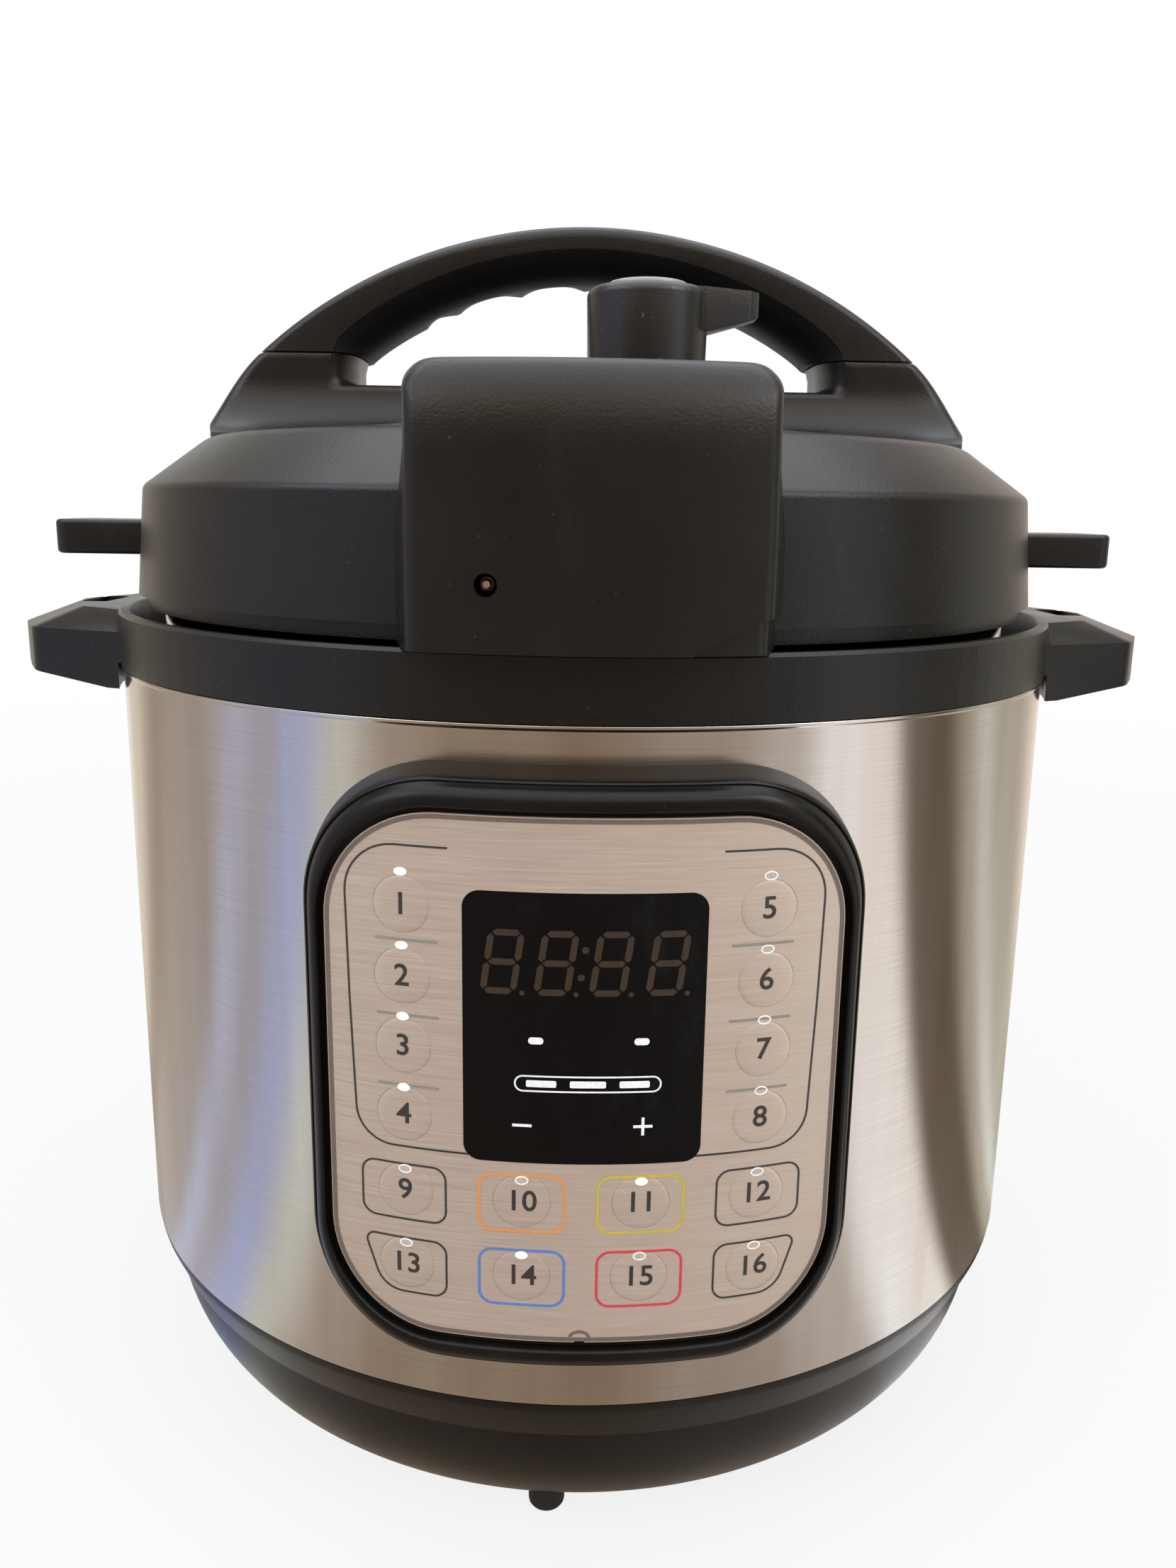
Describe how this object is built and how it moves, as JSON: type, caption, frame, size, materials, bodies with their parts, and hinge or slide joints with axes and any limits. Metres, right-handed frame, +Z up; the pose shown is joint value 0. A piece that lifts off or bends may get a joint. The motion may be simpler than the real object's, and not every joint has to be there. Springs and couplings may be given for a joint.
{
  "type": "electric pressure cooker",
  "caption": "Round countertop electric pressure cooker: brushed steel housing, lift-out pot, turn-to-lock black lid with arched handle and steam release knob, and front key panel.",
  "frame": {"origin": "On the cooker's axis, at the height of the surface that the feet stand on", "axes": "+Z up along the cooker's axis, -Y towards the front where the key panel is, +X to the right seen from the front"},
  "size_m": [0.328, 0.29, 0.3241],
  "materials": {
    "black_plastic": "moulded satin black",
    "soft_grip": "dull black",
    "black_knob": "smooth satin black",
    "grey_cap": "glossy grey",
    "foot_rubber": "matte black",
    "white_silicone": "translucent white silicone",
    "brushed_sleeve": "brushed around the sleeve",
    "polished_steel": "smooth stainless",
    "pot_aluminium": "plain",
    "plain_steel": "plain",
    "brass_parts": "plain",
    "champagne_panel": "fine brushed champagne",
    "display_black": "smooth black",
    "board_green": "circuit board",
    "pale_plastic": "plain",
    "clear_cup": "clear"
  },
  "bodies": {
    "base": {"base_shell": "black_plastic", "feet": "foot_rubber", "base_screws": "plain_steel", "power_inlet": "black_plastic", "inlet_pins": "brass_parts", "power_board": "board_green", "pressure_switch": "pale_plastic", "steel_housing": "brushed_sleeve", "top_ring": "black_plastic", "outer_pot": "pot_aluminium", "heating_plate": "pot_aluminium", "sensor_holder": "plain_steel", "sensor_spring": "plain_steel", "thermal_fuse": "pale_plastic", "panel_bezel": "black_plastic", "panel_plate": "champagne_panel", "display_window": "display_black", "display_module": "display_black", "control_board": "board_green"},
    "pot": {"inner_pot": "polished_steel"},
    "sensor": {"temperature_sensor": "plain_steel"},
    "cup": {"condensation_cup": "clear_cup"},
    "seal": {"sealing_ring": "white_silicone"},
    "lid": {"seal_rack": "polished_steel", "steel_lid": "polished_steel", "lid_cover": "black_plastic", "lid_bolt": "plain_steel", "valve_block": "black_plastic", "handle_shell": "black_plastic", "handle_grip": "soft_grip", "handle_screws": "plain_steel", "steam_pipe": "plain_steel", "steam_shield": "polished_steel", "lock_spring": "plain_steel"},
    "knob": {"steam_knob": "black_knob", "knob_cap": "grey_cap"},
    "float": {"float_valve": "polished_steel", "float_seal": "white_silicone"},
    "pin": {"lock_pin": "brass_parts"},
    "key_left_1_body": {"key_left_1": "champagne_panel"},
    "key_left_2_body": {"key_left_2": "champagne_panel"},
    "key_left_3_body": {"key_left_3": "champagne_panel"},
    "key_left_4_body": {"key_left_4": "champagne_panel"},
    "key_right_1_body": {"key_right_1": "champagne_panel"},
    "key_right_2_body": {"key_right_2": "champagne_panel"},
    "key_right_3_body": {"key_right_3": "champagne_panel"},
    "key_right_4_body": {"key_right_4": "champagne_panel"},
    "key_minus_body": {"key_minus": "display_black"},
    "key_plus_body": {"key_plus": "display_black"},
    "key_low_1_body": {"key_low_1": "champagne_panel"},
    "key_low_2_body": {"key_low_2": "champagne_panel"},
    "key_low_3_body": {"key_low_3": "champagne_panel"},
    "key_low_4_body": {"key_low_4": "champagne_panel"},
    "key_low_5_body": {"key_low_5": "champagne_panel"},
    "key_low_6_body": {"key_low_6": "champagne_panel"},
    "key_low_7_body": {"key_low_7": "champagne_panel"},
    "key_low_8_body": {"key_low_8": "champagne_panel"}
  },
  "joints": [
    {"name": "pot_turn", "type": "hinge", "parent": "base", "child": "pot", "pos_m": [0, 0, 0.062], "axis": [0, 0, 1], "continuous": true},
    {"name": "sensor_press", "type": "slide", "parent": "base", "child": "sensor", "axis": [0, 0, -1], "range_m": [0, 0.0015], "stiffness_N_per_m": 2500, "springref_m": -0.0005, "deforming": ["sensor_spring"]},
    {"name": "cup_pull", "type": "slide", "parent": "base", "child": "cup", "axis": [0, 1, 0], "range_m": [0, 0.035]},
    {"name": "lid_lift", "type": "slide", "parent": "base", "child": "seal", "axis": [0, 0, 1], "range_m": [0, 0.24]},
    {"name": "lid_turn", "type": "hinge", "parent": "seal", "child": "lid", "pos_m": [0, 0, 0.2166], "axis": [0, 0, 1], "range_deg": [0, 30]},
    {"name": "knob_turn", "type": "hinge", "parent": "lid", "child": "knob", "pos_m": [0.0124, -0.084, 0.28], "axis": [0, 0, 1], "range_deg": [0, 60]},
    {"name": "float_rise", "type": "slide", "parent": "lid", "child": "float", "axis": [0, 0, 1], "range_m": [0, 0.004]},
    {"name": "lock_pin_slide", "type": "slide", "parent": "lid", "child": "pin", "axis": [0, 1, 0], "range_m": [0, 0.003], "stiffness_N_per_m": 300, "springref_m": -0.001},
    {"name": "key_left_1_press", "type": "slide", "parent": "base", "child": "key_left_1_body", "axis": [0.2605, 0.9655, 0], "range_m": [0, 0.0004], "stiffness_N_per_m": 2500, "springref_m": -0.0002},
    {"name": "key_left_2_press", "type": "slide", "parent": "base", "child": "key_left_2_body", "axis": [0.2605, 0.9655, 0], "range_m": [0, 0.0004], "stiffness_N_per_m": 2500, "springref_m": -0.0002},
    {"name": "key_left_3_press", "type": "slide", "parent": "base", "child": "key_left_3_body", "axis": [0.2605, 0.9655, 0], "range_m": [0, 0.0004], "stiffness_N_per_m": 2500, "springref_m": -0.0002},
    {"name": "key_left_4_press", "type": "slide", "parent": "base", "child": "key_left_4_body", "axis": [0.2605, 0.9655, 0], "range_m": [0, 0.0004], "stiffness_N_per_m": 2500, "springref_m": -0.0002},
    {"name": "key_right_1_press", "type": "slide", "parent": "base", "child": "key_right_1_body", "axis": [-0.2605, 0.9655, 0], "range_m": [0, 0.0004], "stiffness_N_per_m": 2500, "springref_m": -0.0002},
    {"name": "key_right_2_press", "type": "slide", "parent": "base", "child": "key_right_2_body", "axis": [-0.2605, 0.9655, 0], "range_m": [0, 0.0004], "stiffness_N_per_m": 2500, "springref_m": -0.0002},
    {"name": "key_right_3_press", "type": "slide", "parent": "base", "child": "key_right_3_body", "axis": [-0.2605, 0.9655, 0], "range_m": [0, 0.0004], "stiffness_N_per_m": 2500, "springref_m": -0.0002},
    {"name": "key_right_4_press", "type": "slide", "parent": "base", "child": "key_right_4_body", "axis": [-0.2605, 0.9655, 0], "range_m": [0, 0.0004], "stiffness_N_per_m": 2500, "springref_m": -0.0002},
    {"name": "key_minus_press", "type": "slide", "parent": "base", "child": "key_minus_body", "axis": [0.0872, 0.9962, 0], "range_m": [0, 0.0004], "stiffness_N_per_m": 2500, "springref_m": -0.0002},
    {"name": "key_plus_press", "type": "slide", "parent": "base", "child": "key_plus_body", "axis": [-0.0872, 0.9962, 0], "range_m": [0, 0.0004], "stiffness_N_per_m": 2500, "springref_m": -0.0002},
    {"name": "key_low_1_press", "type": "slide", "parent": "base", "child": "key_low_1_body", "axis": [0.2605, 0.9655, 0], "range_m": [0, 0.0004], "stiffness_N_per_m": 2500, "springref_m": -0.0002},
    {"name": "key_low_2_press", "type": "slide", "parent": "base", "child": "key_low_2_body", "axis": [0.0872, 0.9962, 0], "range_m": [0, 0.0004], "stiffness_N_per_m": 2500, "springref_m": -0.0002},
    {"name": "key_low_3_press", "type": "slide", "parent": "base", "child": "key_low_3_body", "axis": [-0.0872, 0.9962, 0], "range_m": [0, 0.0004], "stiffness_N_per_m": 2500, "springref_m": -0.0002},
    {"name": "key_low_4_press", "type": "slide", "parent": "base", "child": "key_low_4_body", "axis": [-0.2605, 0.9655, 0], "range_m": [0, 0.0004], "stiffness_N_per_m": 2500, "springref_m": -0.0002},
    {"name": "key_low_5_press", "type": "slide", "parent": "base", "child": "key_low_5_body", "axis": [0.2605, 0.9655, 0], "range_m": [0, 0.0004], "stiffness_N_per_m": 2500, "springref_m": -0.0002},
    {"name": "key_low_6_press", "type": "slide", "parent": "base", "child": "key_low_6_body", "axis": [0.0872, 0.9962, 0], "range_m": [0, 0.0004], "stiffness_N_per_m": 2500, "springref_m": -0.0002},
    {"name": "key_low_7_press", "type": "slide", "parent": "base", "child": "key_low_7_body", "axis": [-0.0872, 0.9962, 0], "range_m": [0, 0.0004], "stiffness_N_per_m": 2500, "springref_m": -0.0002},
    {"name": "key_low_8_press", "type": "slide", "parent": "base", "child": "key_low_8_body", "axis": [-0.2605, 0.9655, 0], "range_m": [0, 0.0004], "stiffness_N_per_m": 2500, "springref_m": -0.0002}
  ]
}
